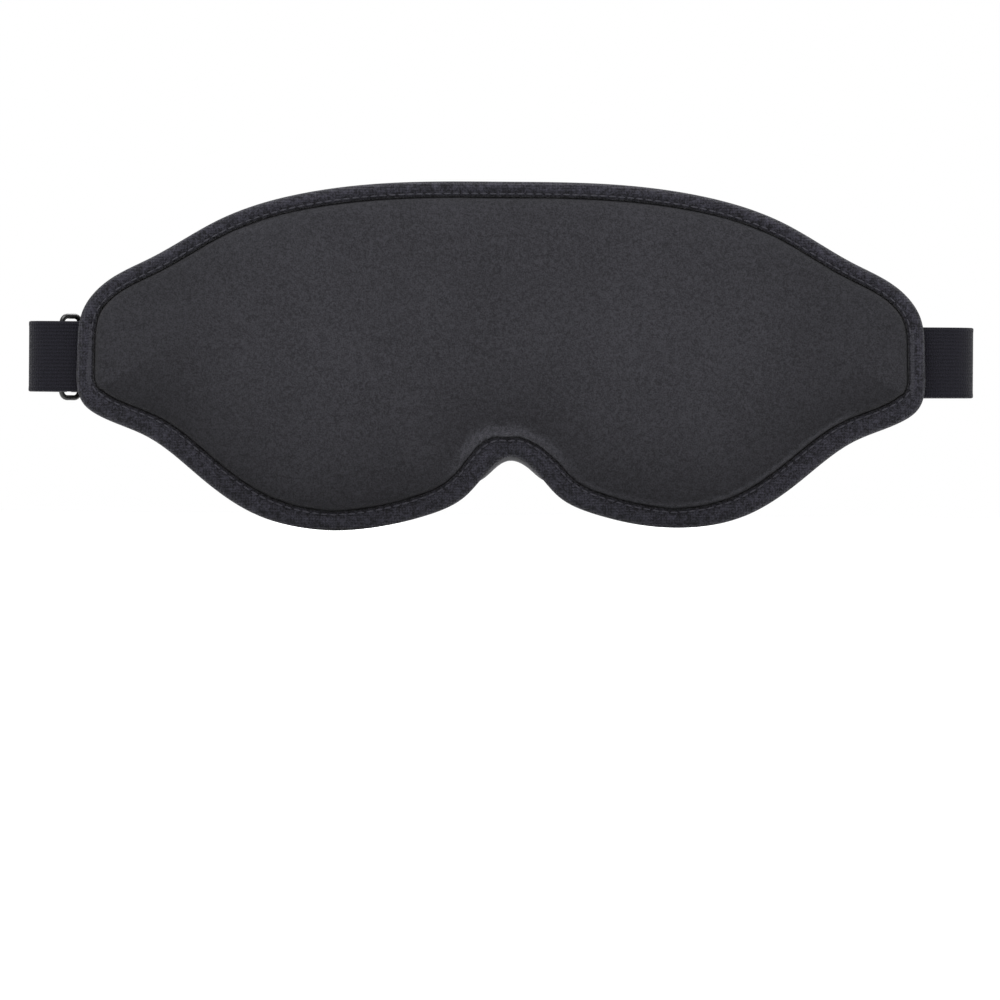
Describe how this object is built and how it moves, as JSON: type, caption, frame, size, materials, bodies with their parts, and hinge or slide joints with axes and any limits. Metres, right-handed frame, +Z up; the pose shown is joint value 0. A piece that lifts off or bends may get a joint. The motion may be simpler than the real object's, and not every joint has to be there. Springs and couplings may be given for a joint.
{
  "type": "sleep eye mask",
  "caption": "Contoured sleep eye mask with padded eye cups, a fold-down nose flap and an elastic head strap with a sliding adjuster.",
  "frame": {"origin": "centre of the wearer's-face contact plane, at the rear of the pad, level with the strap's centre line", "axes": "+X across the mask towards the wearer's left, +Y out of the pad towards the wearer's face and head, +Z up"},
  "size_m": [0.268, 0.1021, 0.0983],
  "materials": {
    "cover_fabric": "matte",
    "pad_fabric": "matte",
    "lining_fabric": "matte",
    "patch_fabric": "matte",
    "flap_satin": "satin",
    "foam": "matte",
    "binding_tape": "matte",
    "thread": "satin",
    "strap_elastic": "matte",
    "ring_metal": "gloss",
    "slider_plastic": "gloss"
  },
  "bodies": {
    "mask": {"outer_cover": "cover_fabric", "front_foam": "foam", "inner_lining": "lining_fabric", "memory_foam_pad": "foam", "pad_cover": "pad_fabric", "eye_patch_left": "patch_fabric", "eye_patch_right": "patch_fabric", "edge_binding": "binding_tape", "binding_stitch_front": "thread", "binding_stitch_back": "thread", "strap_end_left": "strap_elastic", "strap_end_right": "strap_elastic", "bar_tack_left": "thread", "bar_tack_right": "thread", "nose_flap_base_left": "flap_satin", "nose_flap_base_right": "flap_satin"},
    "strap": {"strap_band": "strap_elastic", "strap_return": "strap_elastic", "strap_tab": "strap_elastic", "tab_bar_tack": "thread"},
    "slider": {"strap_slider": "slider_plastic", "slider_loop": "strap_elastic", "slider_bar_tack": "thread"},
    "ring": {"tab_ring": "ring_metal"},
    "nose_flap": {"nose_flap": "flap_satin"}
  },
  "joints": [
    {"name": "strap_swing", "type": "hinge", "parent": "mask", "child": "strap", "pos_m": [0, -0.0096, 0], "axis": [1, 0, 0], "range_deg": [-45, 45]},
    {"name": "slider_travel", "type": "slide", "parent": "strap", "child": "slider", "axis": [0.766, 0.6428, 0], "range_m": [-0.03, 0.035], "deforming": ["strap_return"]},
    {"name": "ring_swivel", "type": "hinge", "parent": "strap", "child": "ring", "pos_m": [-0.1249, 0.00246, 0], "axis": [0, 0, 1], "range_deg": [-6, 6]},
    {"name": "nose_flap_fold", "type": "hinge", "parent": "mask", "child": "nose_flap", "pos_m": [0, 0.00075, -0.03342], "axis": [-1, 0, 0], "range_deg": [0, 110]}
  ]
}
